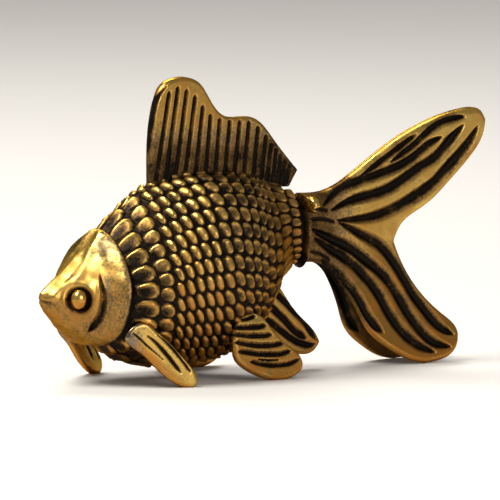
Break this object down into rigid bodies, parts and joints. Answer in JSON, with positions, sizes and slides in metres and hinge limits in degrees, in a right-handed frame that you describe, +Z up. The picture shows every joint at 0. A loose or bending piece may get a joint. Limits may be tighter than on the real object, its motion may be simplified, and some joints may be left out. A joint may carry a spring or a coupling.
{
  "type": "goldfish figurine",
  "caption": "Cast brass goldfish ornament with a plump scaled body, pointed head, tall dorsal fin and forked tail, standing on its paired fins and lower tail lobes.",
  "frame": {"origin": "on the floor under the middle of the fish's length and width", "axes": "+X from the nose to the tip of the tail, +Y to the fish's right side, +Z up from the floor"},
  "size_m": [0.05, 0.0166, 0.0279],
  "materials": {
    "scaled_brass": "cast scales, blackened in the gaps and rubbed bright on the crests",
    "worn_brass": "rubbed brass with faint brown patina",
    "polished_brass": "polished",
    "fin_brass": "ridged, blackened in the grooves and rubbed bright on the ridges and rims"
  },
  "bodies": {
    "root": {"trunk": "scaled_brass", "head": "worn_brass", "eye_left": "polished_brass", "eye_right": "polished_brass", "dorsal_fin": "fin_brass", "anal_fin": "fin_brass", "pectoral_fin_left": "fin_brass", "pectoral_fin_right": "fin_brass", "pelvic_fin_left": "fin_brass", "pelvic_fin_right": "fin_brass", "tail_blade_left": "fin_brass", "tail_blade_right": "fin_brass"}
  },
  "joints": []
}
